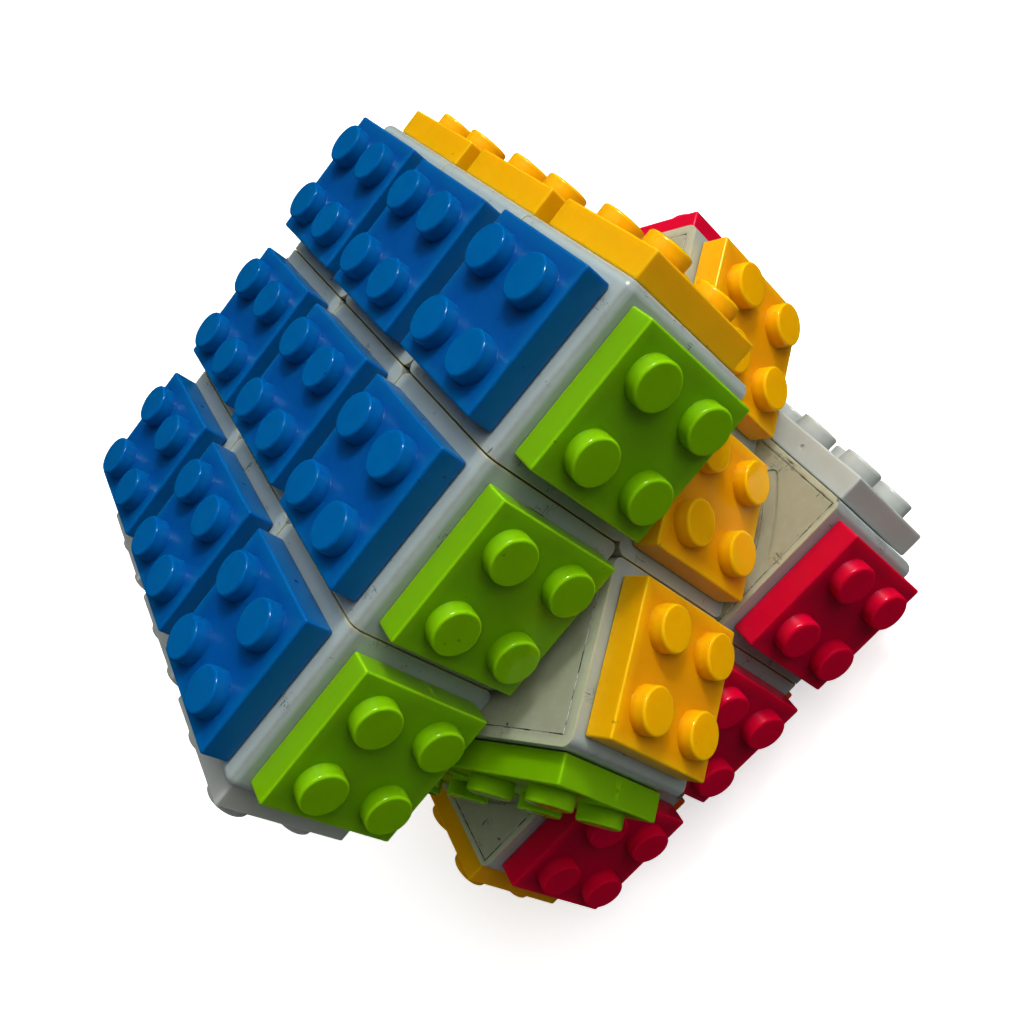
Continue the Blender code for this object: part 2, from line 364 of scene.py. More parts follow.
def handling_group():
    """Scratches dent the surface in some patches, and hold dirt in others, which Marks gives."""
    inputs = {"Roughness": 0.25, "Wear": 0.5}
    tree, given, out = new_group("handling", inputs, ["Height", "Roughness", "Marks"])
    place = seeded_place(tree)
    lines = []
    for turn, stretch in HAIRLINES:
        mapping = {"Vector": place, "Rotation": (turn,) * 3, "Scale": stretch}
        turned = add_node(tree, "ShaderNodeMapping", mapping).outputs["Vector"]
        lines.append(band(tree, noise(tree, turned, HAIRLINE_SCALE, detail=0.0), *HAIRLINE_CUT))
    both = calc(tree, "MAXIMUM", lines[0], lines[1])
    scratches = calc(tree, "MAXIMUM", both, lines[2])
    patches = band(tree, noise(tree, place, PATCH_SCALE), *PATCH_CUT)
    seen = calc(tree, "MULTIPLY", calc(tree, "MULTIPLY", scratches, patches), given["Wear"])
    tree.links.new(calc(tree, "MULTIPLY", seen, -1.0), out["Height"])
    scuffed = band(tree, noise(tree, place, SCUFF_SCALE, detail=3.0), *SCUFF_CUT)
    tree.links.new(calc(tree, "MULTIPLY", scratches, scuffed), out["Marks"])
    smudge = calc(tree, "MULTIPLY", noise(tree, place, SMUDGE_SCALE, detail=3.0), SMUDGE_SWING)
    smudge = calc(tree, "SUBTRACT", smudge, SMUDGE_SWING / 2)
    worn = calc(tree, "ADD", given["Roughness"], smudge)
    dulled = calc(tree, "MULTIPLY", seen, SCRATCH_DULLING)
    tree.links.new(calc(tree, "ADD", worn, dulled, clamp=True), out["Roughness"])
    return tree


# %% Specks
WOBBLE_SCALE = 2500.0
WOBBLE_REACH = 0.6 * MM
SPECK_EDGE = (0.10, 0.18)


def specks_group():
    """A spot is drawn where a cell's point is close, and only in the few cells whose own number is low."""
    inputs = {"Size": 0.0012, "Share": 0.06}
    tree, given, out = new_group("specks", inputs, ["Mask"])
    place = seeded_place(tree)
    wobble = add_node(tree, "ShaderNodeTexNoise", {"Vector": place, "Scale": WOBBLE_SCALE, "Detail": 2.0})
    shift = vector_node(tree, "MULTIPLY", wobble.outputs["Color"], (WOBBLE_REACH,) * 3)
    bent = vector_node(tree, "ADD", place, shift)
    scale = calc(tree, "DIVIDE", 1.0, given["Size"])
    cells = add_node(tree, "ShaderNodeTexVoronoi", {"Vector": bent, "Scale": scale}).outputs
    near = band(tree, cells["Distance"], *SPECK_EDGE, 1.0, 0.0)
    number = add_node(tree, "ShaderNodeSeparateColor", {"Color": cells["Color"]}).outputs["Red"]
    chosen = calc(tree, "LESS_THAN", number, given["Share"])
    tree.links.new(calc(tree, "MULTIPLY", near, chosen), out["Mask"])
    return tree


# %% Grime
GRIME_SCALE = 700.0
GRIME_FROM_RIM = 0.6
GRIME_FROM_NOISE = 0.8
GRIME_SOFTNESS = 0.5


def grime_group():
    """Grime follows the piece's rim attribute, broken up by noise so that it thins out in places."""
    inputs = {"Spread": 0.5}
    tree, given, out = new_group("grime", inputs, ["Mask"])
    patchy = noise(tree, seeded_place(tree), GRIME_SCALE, detail=4.0, roughness=0.7)
    on_rim = calc(tree, "MULTIPLY", attribute(tree, "rim"), GRIME_FROM_RIM)
    reach = calc(tree, "ADD", on_rim, calc(tree, "MULTIPLY", patchy, GRIME_FROM_NOISE))
    edge = calc(tree, "SUBTRACT", 1.0, given["Spread"])
    depth = calc(tree, "SUBTRACT", reach, edge)
    tree.links.new(band(tree, depth, 0.0, GRIME_SOFTNESS), out["Mask"])
    return tree


# %% Hollows: painted shade and satin
SATIN_FADE = 0.9


def hollow_shade_and_satin_group():
    """Mask, for painted shade, is 1 on a tile's plate and at its studs' feet. Satin is 1 below the stud rims.
    """
    inputs = {"Level": 0.03, "Height": 0.001, "Rim": 0.0015, "Half": 0.008, "Border": 0.001}
    tree, given, out = new_group("hollows", inputs, ["Mask", "Satin"])
    x, y, z = own_axes(tree)
    outward = calc(tree, "MAXIMUM", calc(tree, "ABSOLUTE", x), calc(tree, "ABSOLUTE", y))
    start = calc(tree, "SUBTRACT", given["Half"], given["Border"])
    inside = band(tree, outward, start, given["Half"], 1.0, 0.0)
    over = calc(tree, "SUBTRACT", z, given["Level"])
    low = band(tree, calc(tree, "ABSOLUTE", over), 0.0, given["Height"], 1.0, 0.0)
    tree.links.new(calc(tree, "MULTIPLY", inside, low), out["Mask"])
    fade = calc(tree, "MULTIPLY", given["Rim"], SATIN_FADE)
    tree.links.new(band(tree, over, fade, given["Rim"], 1.0, 0.0), out["Satin"])
    return tree


# %% Build the groups
MOTTLE = mottle_group()
HANDLING = handling_group()
SPECKS = specks_group()
GRIME = grime_group()
HOLLOW_SHADE_AND_SATIN = hollow_shade_and_satin_group()
print("node groups:", [tree.name for tree in bpy.data.node_groups])

# %% [markdown]
# ## Tile plastic
#
# The tiles are glossy moulded plastic, coloured right through and a little translucent. Light that enters a
# thin edge comes out again beside it, so edges and stud rims look lighter and the hollows between the studs
# look deeper in colour. Subsurface scattering alone does a little of both. The rest is painted light: the rim
# attribute, written on the mesh below, paints a lighter glow on the fillets, and the hollows group paints
# shade on the plate. Below the stud rims the plastic is also made more satin, or each stud would mirror its
# neighbour as a bright blot.


# %% Material helpers
def new_material(name, roughness=0.3, metallic=0.0):
    """A material with its node tree and its Principled shader."""
    material = bpy.data.materials.new(name)
    material.use_nodes = True
    shader = material.node_tree.nodes["Principled BSDF"]
    shader.inputs["Roughness"].default_value = roughness
    shader.inputs["Metallic"].default_value = metallic
    return material, material.node_tree, shader


def use_group(tree, group, **inputs):
    """Places a node group in a material and returns its outputs."""
    given = {name.capitalize(): value for name, value in inputs.items()}
    return add_node(tree, "ShaderNodeGroup", given, node_tree=group).outputs


def set_bump(tree, shader, height, distance):
    bump = add_node(tree, "ShaderNodeBump", {"Height": height, "Distance": distance, "Strength": 1.0})
    tree.links.new(bump.outputs["Normal"], shader.inputs["Normal"])


# %% Tile plastic
EDGE_GLOW_SHARE = 0.35
HOLLOW_SHADE_SHARE = 0.5
HOLLOW_SHADE_HEIGHT = 0.9 * MM
HOLLOW_SHADE_BORDER = 1.6 * MM
SATIN_TOP = STUD_HEIGHT - RIM_FILLET / 2
SATIN_DULLING = 0.18
SPECK_SHARE = 0.6
SPECK_TONE = 0.35
TILE_SCRATCH_DEPTH = 0.004 * MM
TILE_SCATTER = 1.2 * MM

# The body, the edges' painted glow, the hollows' painted shade, and how far red, green and blue light travel
# inside.
TILE_COLOURS = {
    "blue": ((0.0003, 0.165, 0.405), (0.0003, 0.16, 0.40), (0.0002, 0.077, 0.340), (0.1, 0.4, 1.0)),
    "green": ((0.252, 0.502, 0.001), (0.50, 0.86, 0.02), (0.165, 0.380, 0.001), (0.5, 1.0, 0.1)),
    "yellow": ((0.880, 0.495, 0.001), (0.98, 0.72, 0.02), (0.680, 0.275, 0.001), (1.0, 0.5, 0.1)),
    "red": ((0.700, 0.001, 0.055), (0.76, 0.008, 0.07), (0.360, 0.001, 0.045), (1.0, 0.1, 0.1)),
    "white": ((0.540, 0.560, 0.530), (0.62, 0.64, 0.61), (0.450, 0.460, 0.440), (1.0, 1.0, 1.0)),
    "orange": ((0.850, 0.120, 0.010), (0.95, 0.24, 0.04), (0.600, 0.070, 0.006), (1.0, 0.4, 0.1)),
}


def tile_colour(tree, colour, edge_glow_colour, shaded_colour, depth):
    """Painted shade in the hollows, a painted glow on the fillets, and dark at the specks."""
    tone = use_group(tree, MOTTLE, size=0.005, strength=0.16)["Tone"]
    body = scale_colour(tree, mix_colours(tree, depth, (*colour, 1), (*shaded_colour, 1)), tone)
    # Painted glow: the rim attribute mixes the fillets toward the lighter edge colour.
    lift = calc(tree, "MULTIPLY", attribute(tree, "rim"), EDGE_GLOW_SHARE)
    lifted = mix_colours(tree, lift, body, (*edge_glow_colour, 1))
    specks = use_group(tree, SPECKS, size=0.0011, share=0.02)["Mask"]
    dark = tuple(SPECK_TONE * value for value in colour)
    return mix_colours(tree, calc(tree, "MULTIPLY", specks, SPECK_SHARE), lifted, (*dark, 1))


def tile_plastic(name, colour, edge_glow_colour, shaded_colour, scatter):
    material, tree, shader = new_material(name)
    where = {"level": PLATE_TOP, "half": TILE_HALF, "border": HOLLOW_SHADE_BORDER}
    hollow = use_group(tree, HOLLOW_SHADE_AND_SATIN, height=HOLLOW_SHADE_HEIGHT, rim=SATIN_TOP, **where)
    # depth is the share of painted shade, from the hollows mask on the plate and at the studs' feet.
    depth = calc(tree, "MULTIPLY", hollow["Mask"], HOLLOW_SHADE_SHARE)
    soiled = tile_colour(tree, colour, edge_glow_colour, shaded_colour, depth)
    tree.links.new(soiled, shader.inputs["Base Color"])
    wear = use_group(tree, HANDLING, roughness=0.13, wear=0.3)
    dulling = calc(tree, "MULTIPLY", hollow["Satin"], SATIN_DULLING)
    tree.links.new(calc(tree, "ADD", wear["Roughness"], dulling), shader.inputs["Roughness"])
    set_bump(tree, shader, wear["Height"], TILE_SCRATCH_DEPTH)
    shader.inputs["Specular IOR Level"].default_value = 0.4
    shader.inputs["Subsurface Weight"].default_value = 0.5
    shader.inputs["Subsurface Radius"].default_value = scatter
    shader.inputs["Subsurface Scale"].default_value = TILE_SCATTER
    shader.inputs["IOR"].default_value = 1.5
    return material


TILE_PLASTICS = {name: tile_plastic(f"tile_{name}", *values) for name, values in TILE_COLOURS.items()}
print("tile plastics:", sorted(TILE_PLASTICS))

# %% [markdown]
# ## Shell plastic
#
# The cubie shells are white plastic with a softer gloss. White shows everything: a warm film in the seams
# and a few black flecks. The walls between layers get painted warm light: their white is warmer and a
# little lighter than the outside, for the yellow light that the tiles bounce onto them. A second material
# could be painted on those walls, but they all lie half a pitch from the middle, so the shader finds them by
# the piece's own coordinates. The thin gap round each lid holds dirt, and the edge of the arc-shaped hollow
# is painted with a reddish-brown shade. Each gets a material of its own.


# %% Shell plastic, the dirt in its gaps and the painted shade at its hollows
SHELL_WHITE = (0.46, 0.52, 0.505)
BOUNCE_LIT_WHITE = (0.545, 0.555, 0.43)
WALL_REACH = 0.2 * MM
SEAM_FILM = (0.20, 0.17, 0.13)
FILM_SHARE = 0.25
FLECK = (0.03, 0.03, 0.035)
FLECK_SHARE = 0.8
SHELL_SCRATCH_DEPTH = 0.006 * MM
SHELL_SCATTER = 0.8 * MM
DIRT_SCALE = 500.0
DIRT_CUT = (0.40, 0.56)


def between_layers(tree):
    """1 on the walls that lie half a pitch from the middle on any axis, and 0 a little way off them."""
    gaps = []
    for axis in own_axes(tree):
        beyond = calc(tree, "SUBTRACT", calc(tree, "ABSOLUTE", axis), PITCH / 2)
        gaps.append(calc(tree, "ABSOLUTE", beyond))
    nearest = calc(tree, "MINIMUM", calc(tree, "MINIMUM", gaps[0], gaps[1]), gaps[2])
    return band(tree, nearest, WALL_REACH, 2 * WALL_REACH, 1.0, 0.0)


def shell_plastic():
    material, tree, shader = new_material("cubie_white")
    tone = use_group(tree, MOTTLE, size=0.006, strength=0.08)["Tone"]
    # Painted light: walls between layers get a warmer, lighter white, for yellow light bounced onto them.
    white = mix_colours(tree, between_layers(tree), (*SHELL_WHITE, 1), (*BOUNCE_LIT_WHITE, 1))
    body = scale_colour(tree, white, tone)
    film = calc(tree, "MULTIPLY", use_group(tree, GRIME, spread=0.42)["Mask"], FILM_SHARE)
    filmed = mix_colours(tree, film, body, (*SEAM_FILM, 1))
    specks = use_group(tree, SPECKS, size=0.0012, share=0.03)["Mask"]
    wear = use_group(tree, HANDLING, roughness=0.30, wear=0.7)
    dirty = calc(tree, "MULTIPLY", calc(tree, "MAXIMUM", specks, wear["Marks"]), FLECK_SHARE)
    tree.links.new(mix_colours(tree, dirty, filmed, (*FLECK, 1)), shader.inputs["Base Color"])
    tree.links.new(wear["Roughness"], shader.inputs["Roughness"])
    set_bump(tree, shader, wear["Height"], SHELL_SCRATCH_DEPTH)
    shader.inputs["Subsurface Weight"].default_value = 0.3
    shader.inputs["Subsurface Radius"].default_value = (1.0, 0.9, 0.8)
    shader.inputs["Subsurface Scale"].default_value = SHELL_SCATTER
    return material


def gap_dirt(name, dust_and_shade, lighter_patch):
    """Dust in a thin gap, worn away in places. The same fill paints shade on the edges of an arc hollow."""
    material, tree, shader = new_material(name, roughness=0.8)
    patches = noise(tree, seeded_place(tree), DIRT_SCALE, detail=4.0, roughness=0.65)
    dirt = mix_colours(tree, band(tree, patches, *DIRT_CUT), (*dust_and_shade, 1), (*lighter_patch, 1))
    tree.links.new(dirt, shader.inputs["Base Color"])
    return material


CUBIE_WHITE = shell_plastic()
GAP_DIRT = gap_dirt("gap_dirt", dust_and_shade=(0.06, 0.05, 0.035), lighter_patch=(0.8, 0.8, 0.76))
# Painted shade: the quads round each arc hollow's edge get a dark reddish brown, lighter in patches.
ARC_EDGE_SHADE = gap_dirt("arc_edge_shade", dust_and_shade=(0.20, 0.11, 0.08), lighter_patch=(0.42, 0.32, 0.26))
print("shell materials:", CUBIE_WHITE.name, GAP_DIRT.name, ARC_EDGE_SHADE.name)

# %% [markdown]
# ## Mesh helpers
#
# A mesh is drafted in bmesh, then finished by modifiers on a throwaway object and read back as plain mesh
# data. Weighted normals keep large flat faces flat beside their small fillets: without them, a fillet's
# shading bleeds across the whole face.


# %% Mesh helpers
SHARP_ANGLE = math.radians(35)
ROUND_SIDES = 48
BALL_SIDES = 64


def draft_object(work, name="draft"):
    """A scene object that holds a bmesh, which it uses up."""
    bmesh.ops.recalc_face_normals(work, faces=work.faces)
    mesh = bpy.data.meshes.new(name)
    work.to_mesh(mesh)
    work.free()
    obj = bpy.data.objects.new(name, mesh)
    bpy.context.scene.collection.objects.link(obj)
    return obj


def read_back(obj, helpers=()):
    """The mesh that an object's modifiers leave. The object and its helpers are removed."""
    graph = bpy.context.evaluated_depsgraph_get()
    mesh = bpy.data.meshes.new_from_object(obj.evaluated_get(graph))
    for used in (obj, *helpers):
        bpy.data.objects.remove(used)
    return mesh


def combine(base, steps):
    """The mesh left when each (operation, tool) has acted on base."""
    for operation, tool in steps:
        modifier = base.modifiers.new(operation, "BOOLEAN")
        modifier.operation = operation
        modifier.object = tool
        modifier.material_mode = "TRANSFER"
    return read_back(base, [tool for _, tool in steps])


def object_of(mesh, name="draft"):
    obj = bpy.data.objects.new(name, mesh)
    bpy.context.scene.collection.objects.link(obj)
    return obj


def shade(mesh):
    """Smooth shading with true corners and weighted normals."""
    mesh.shade_smooth()
    mesh.set_sharp_from_angle(angle=SHARP_ANGLE)
    obj = object_of(mesh)
    modifier = obj.modifiers.new("weighted", "WEIGHTED_NORMAL")
    modifier.keep_sharp = True
    return read_back(obj)


def write_attribute(mesh, name, value_of):
    """Writes a value from 0 to 1 on each vertex, from its place and its normal."""
    values = [min(1.0, max(0.0, value_of(vertex.co, vertex.normal))) for vertex in mesh.vertices]
    mesh.attributes.new(name, "FLOAT", "POINT").data.foreach_set("value", values)


# %% Simple solids
def add_block(work, low, high):
    """Adds a box between two corners."""
    low, high = Vector(low), Vector(high)
    place = Matrix.Translation((low + high) / 2) @ Matrix.Diagonal((*(high - low), 1))
    bmesh.ops.create_cube(work, size=1, matrix=place)


def plain_block(low, high):
    work = bmesh.new()
    add_block(work, low, high)
    return draft_object(work)


def ball(radius):
    work = bmesh.new()
    bmesh.ops.create_uvsphere(work, u_segments=BALL_SIDES, v_segments=BALL_SIDES // 2, radius=radius)
    return draft_object(work)


def lathe(profile, segments=ROUND_SIDES):
    """A solid turned about Z. The profile is (radius, height) points up from the bottom of the axis."""
    work = bmesh.new()
    rings = []
    for radius, height in profile:
        if radius == 0:
            rings.append([work.verts.new((0, 0, height))] * segments)
            continue
        angles = [2 * math.pi * i / segments for i in range(segments)]
        rings.append([work.verts.new((radius * math.cos(a), radius * math.sin(a), height)) for a in angles])
    for lower, upper in itertools.pairwise(rings):
        for i in range(segments):
            j = (i + 1) % segments
            corners = dict.fromkeys((lower[i], lower[j], upper[j], upper[i]))
            work.faces.new(tuple(corners))
    return draft_object(work)


def rod(radius, start, end, segments=ROUND_SIDES):
    return lathe([(0, start), (radius, start), (radius, end), (0, end)], segments)


# %% [markdown]
# ## The stud tile
#
# All 54 tiles come from one mould, so they share one mesh. A stud could be a cylinder joined on with a
# Boolean, but that leaves long thin triangles round its foot, which shade badly once they are filleted.
# Instead each quarter of the plate is a ring of quads that runs from the quarter's square outline to the
# stud's circle. One Bevel modifier then rounds every edge that turns a corner. Its width follows a weight on
# the edge, because a stud's rim is rounder than the corner at its foot. A last Boolean leaves the small
# dimple of the mould's gate on one side wall.

# %% Stud tile mesh
STUD_SIDES = 48
BEVEL_STEPS = 3
ROUNDED_ANGLE = math.radians(40)
CORNER_ANGLE = math.radians(50)
SAME_POINT = 0.001 * MM
GATE_RADIUS = 0.28 * MM
GATE_DEPTH = 0.2 * MM
GATE_OFFSET = 0.8 * MM
GATE_SIDES = 24


def square_ring(x_side, y_side):
    """Points round one quarter of the plate, a quarter of them on each side, from its +X +Y corner."""
    low_x, high_x = sorted((0.0, x_side * TILE_HALF))
    low_y, high_y = sorted((0.0, y_side * TILE_HALF))
    corners = [(high_x, high_y), (low_x, high_y), (low_x, low_y), (high_x, low_y)]
    ring = []
    for start, end in zip(corners, corners[1:] + corners[:1]):
        for step in range(STUD_SIDES // 4):
            ring.append(Vector(start).lerp(Vector(end), step / (STUD_SIDES // 4)))
    return ring


def circle_ring(x_side, y_side):
    """Points round one stud, from the direction of the square ring's first corner."""
    centre = Vector((x_side, y_side)) * STUD_PITCH / 2
    angles = [math.pi / 4 + 2 * math.pi * step / STUD_SIDES for step in range(STUD_SIDES)]
    return [centre + STUD_RADIUS * Vector((math.cos(angle), math.sin(angle))) for angle in angles]


def bridge(work, lower, upper):
    """Quads between two rings of the same number of points."""
    for i in range(len(lower)):
        j = (i + 1) % len(lower)
        work.faces.new((lower[i], lower[j], upper[j], upper[i]))


def weigh_edges(work, weight_of):
    """Writes the weight that a Bevel modifier reads, from each edge's middle, where the surface turns."""
    weights = work.edges.layers.float.new("bevel_weight_edge")
    work.normal_update()
    for edge in work.edges:
        if edge.calc_face_angle(0.0) > ROUNDED_ANGLE:
            edge[weights] = weight_of(edge)


def add_bevel(draft, width, segments, limit):
    """A Bevel modifier on the edges that carry a weight, or on those that turn sharply."""
    bevel = draft.modifiers.new("fillet", "BEVEL")
    bevel.width = width
    bevel.segments = segments
    bevel.limit_method = limit
    bevel.angle_limit = CORNER_ANGLE


# %% Rounding and rims of the tile
def tile_edge_weight(edge):
    """The rounding of a stud's rim, of the plate or of a stud's foot, as a share of the largest."""
    middle = (edge.verts[0].co + edge.verts[1].co) / 2
    if middle.z > PLATE_TOP + STUD_HEIGHT / 2:
        return 1.0
    on_border = max(abs(middle.x), abs(middle.y)) > TILE_HALF - TILE_FILLET
    on_plate = on_border or middle.z < PLATE_TOP - TILE_FILLET
    return (TILE_FILLET if on_plate else FOOT_FILLET) / RIM_FILLET


def tile_rim(place, normal):
    """Edges of the plate and rims of the studs, but not the corners at the studs' feet. Tiles paint a glow
    here.
    """
    lean = 2 * abs(normal.z) * math.sqrt(max(0.0, 1 - normal.z**2))
    by_stud_top = place.z > PLATE_TOP + STUD_HEIGHT / 2
    inside = TILE_HALF - 1.5 * TILE_FILLET
    at_x, at_y = abs(place.x) > inside, abs(place.y) > inside
    corner = 2 * abs(normal.x * normal.y) if at_x and at_y else 0.0
    return max(lean if by_stud_top or at_x or at_y else 0.0, corner)


def gate_mark():
    """A cutter for the small round dimple that the mould's gate leaves on one side wall."""
    pin = rod(GATE_RADIUS, -GATE_DEPTH, GATE_DEPTH, GATE_SIDES)
    middle = Vector((GATE_OFFSET, TILE_HALF, (PLATE_TOP + PLATE_SEAT) / 2))
    pin.data.transform(Matrix.Translation(middle) @ Matrix.Rotation(math.pi / 2, 4, "X"))
    return pin


# %% Make the tile
def tile_mesh():
    work = bmesh.new()
    for x_side, y_side in itertools.product((-1, 1), repeat=2):
        outline = [work.verts.new((*point, PLATE_TOP)) for point in square_ring(x_side, y_side)]
        foot = [work.verts.new((*point, PLATE_TOP)) for point in circle_ring(x_side, y_side)]
        rim = [work.verts.new((*point, PLATE_TOP + STUD_HEIGHT)) for point in circle_ring(x_side, y_side)]
        bridge(work, outline, foot)
        bridge(work, foot, rim)
        work.faces.new(rim)
    bmesh.ops.remove_doubles(work, verts=work.verts, dist=SAME_POINT)
    outer = [edge for edge in work.edges if edge.is_boundary]
    walls = bmesh.ops.extrude_edge_only(work, edges=outer)["geom"]
    bottom = [item for item in walls if isinstance(item, bmesh.types.BMVert)]
    for vertex in bottom:
        vertex.co.z = PLATE_SEAT
    bmesh.ops.contextual_create(work, geom=[edge for edge in work.edges if edge.is_boundary])
    weigh_edges(work, tile_edge_weight)
    draft = draft_object(work)
    add_bevel(draft, RIM_FILLET, BEVEL_STEPS, "WEIGHT")
    mesh = shade(combine(draft, [("DIFFERENCE", gate_mark())]))
    mesh.materials.clear()
    write_attribute(mesh, "rim", tile_rim)
    return mesh


TILE = tile_mesh()
print("stud tile:", len(TILE.polygons), "faces")

# %% [markdown]
# ## The cubie shells
#
# A corner, an edge and a centre cubie are each made once, in the +X +Y +Z octant, and turned into place. The
# rounding isn't the same all over, as it would be on a cube with one Bevel. The cube's own outer edges are
# full and soft, and so are the edges that run inward, which is why a dark four-pointed hole shows wherever
# four cubies meet. The edges along a seam are nearly sharp, so that two neighbours look like one surface with
# a hairline across it. A corner's three inner walls, a centre's four sides, and an edge's top and bottom each
# have a lid, drawn as a thin square gap. On a corner cubie each inner wall also has a shallow arc-shaped
# hollow, centred on the axis that it turns about. Feet, stems and necks keep the sizes that the mechanism
# needs.

# %% Sizes of the inside
FOOT_PLANE = 5.5 * MM
FOOT_OUTSIDE = 20 * MM
FOOT_INSIDE = 12 * MM
FOOT_CLEARANCE = 0.2 * MM
NECK_INSET = 0.05 * MM
STEM_RADIUS = FOOT_PLANE - FOOT_CLEARANCE
STEM_START = 11.3 * MM
STEM_FLOOR = 1.5 * MM
STEM_TOP = 22 * MM
STEM_BORE = 3.6 * MM
SCREW_HOLE = 1.6 * MM

LID_INSET = {"corner": 0.7 * MM, "edge": 1.1 * MM, "centre": 1.1 * MM}
LID_GAP = 0.11 * MM
LID_GAP_DEPTH = 0.25 * MM

ARC_RADIUS = 31.9 * MM
ARC_HALF_WIDTH = 0.9 * MM
ARC_DEPTH = 0.15 * MM
ARC_HALF_ANGLE = math.radians(8)
ARC_STEPS = 12

OUTER_BAND = 1 * MM
TEMPLATE_CELL = {"centre": (0, 0, 1), "edge": (1, 1, 0), "corner": (1, 1, 1)}
LID_SIDES = {
    "centre": [(1, 0, 0), (-1, 0, 0), (0, 1, 0), (0, -1, 0)],
    "edge": [(0, 0, 1), (0, 0, -1)],
    "corner": [(-1, 0, 0), (0, -1, 0), (0, 0, -1)],
}


# %% Cubie block with lids
def extent(cell, inner, half):
    """Low and high corners of a cell's region: inner to the cube's face, or half each way."""
    low = [inner if step else -half for step in cell]
    high = [HALF_CUBE if step else half for step in cell]
    return low, high


def lid_gap(cell, side, lid_inset):
    """A cutter for one lid's gap: a thin square frame that reaches a little way into the wall."""
    low, high = (Vector(corner) for corner in extent(cell, NEAR_WALL, HALF_CUBIE))
    axis = max(range(3), key=lambda i: abs(side[i]))
    wall = high[axis] if side[axis] > 0 else low[axis]
    frames = []
    for inset, depth in ((lid_inset, LID_GAP_DEPTH), (lid_inset + LID_GAP, 2 * LID_GAP_DEPTH)):
        inner_low = low + Vector((inset,) * 3)
        inner_high = high - Vector((inset,) * 3)
        inner_low[axis] = wall - depth
        inner_high[axis] = wall + depth
        frames.append(plain_block(inner_low, inner_high))
    gap = object_of(combine(frames[0], [("DIFFERENCE", frames[1])]))
    gap.data.materials.clear()
    gap.data.materials.append(GAP_DIRT)
    return gap


def shell_edge_weight(edge):
    """1 where two outer or two inner faces meet, and 0 along a seam, where one of each does."""
    first, second = (max(face.calc_center_median()) > HALF_CUBE - OUTER_BAND for face in edge.link_faces)
    return 1.0 if first == second else 0.0


def cubie_block(kind):
    cell = TEMPLATE_CELL[kind]
    work = bmesh.new()
    add_block(work, *extent(cell, NEAR_WALL, HALF_CUBIE))
    weigh_edges(work, shell_edge_weight)
    block = draft_object(work)
    add_bevel(block, SHELL_FILLET, FILLET_STEPS, "WEIGHT")
    add_bevel(block, SEAM_FILLET, SEAM_STEPS, "ANGLE")
    block.data.materials.append(CUBIE_WHITE)
    gaps = [("DIFFERENCE", lid_gap(cell, side, LID_INSET[kind])) for side in LID_SIDES[kind]]
    return object_of(combine(block, gaps))


# %% Feet and hollows
def foot(cell):
    """The part of the ball-shaped shell round the core that belongs to a corner or an edge cubie."""
    low, high = extent(cell, FOOT_PLANE + FOOT_CLEARANCE, FOOT_PLANE - FOOT_CLEARANCE)
    steps = [
        ("INTERSECT", ball(FOOT_OUTSIDE - FOOT_CLEARANCE)),
        ("DIFFERENCE", ball(FOOT_INSIDE + FOOT_CLEARANCE)),
    ]
    return object_of(combine(plain_block(low, high), steps))


def arc_outline():
    """Points round a bent slot with round ends: along one long side, round an end, and back."""
    outline = []
    for side in (1, -1):
        for step in range(ARC_STEPS + 1):
            angle = math.pi / 4 + side * ARC_HALF_ANGLE * (1 - 2 * step / ARC_STEPS)
            outline.append(direction(angle, 0) * (ARC_RADIUS + side * ARC_HALF_WIDTH))
        end = direction(math.pi / 4 - side * ARC_HALF_ANGLE, 0)
        across = end.cross(UP) * side
        for step in range(1, ARC_STEPS):
            turn = math.pi * step / ARC_STEPS
            reach = end * side * math.cos(turn) + across * math.sin(turn)
            outline.append(end * ARC_RADIUS + reach * ARC_HALF_WIDTH)
    return outline


def arc_hollow(turns):
    """A cutter for one corner wall. The quads round its edge carry the painted shade, and its flat faces
    don't.
    """
    outline = arc_outline()
    work = bmesh.new()
    rings = []
    for height in (NEAR_WALL - ARC_DEPTH, NEAR_WALL + ARC_DEPTH):
        rings.append([work.verts.new(point + UP * height) for point in outline])
    bridge(work, *rings)
    for ring in rings:
        work.faces.new(ring)
    cutter = draft_object(work)
    for material in (CUBIE_WHITE, ARC_EDGE_SHADE):
        cutter.data.materials.append(material)
    for polygon in cutter.data.polygons:
        polygon.material_index = 1 if len(polygon.vertices) == 4 else 0
    cutter.data.transform(Matrix.Rotation(turns * 2 * math.pi / 3, 4, Vector((1, 1, 1))))
    return cutter


# %% The three shells
def shell_rim(place, normal):
    """1 halfway round a fillet, where no finger wipes, and 0 on a flat face."""
    return (1 - max(map(abs, normal))) / (1 - math.sqrt(0.5))


def corner_mesh():
    hollows = [("DIFFERENCE", arc_hollow(turns)) for turns in range(3)]
    return combine(cubie_block("corner"), [*hollows, ("UNION", foot(TEMPLATE_CELL["corner"]))])


def edge_mesh():
    """The neck joins the block to its own foot, where the ball has parted them."""
    cell = TEMPLATE_CELL["edge"]
    low, high = extent(cell, NEAR_WALL + NECK_INSET, FOOT_PLANE - FOOT_CLEARANCE)
    reach = FOOT_OUTSIDE + 4 * FOOT_CLEARANCE
    steps = [
        ("DIFFERENCE", ball(FOOT_OUTSIDE + FOOT_CLEARANCE)),
        ("UNION", plain_block(low, [min(reach, top) for top in high])),
        ("UNION", foot(cell)),
    ]
    return combine(cubie_block("edge"), steps)


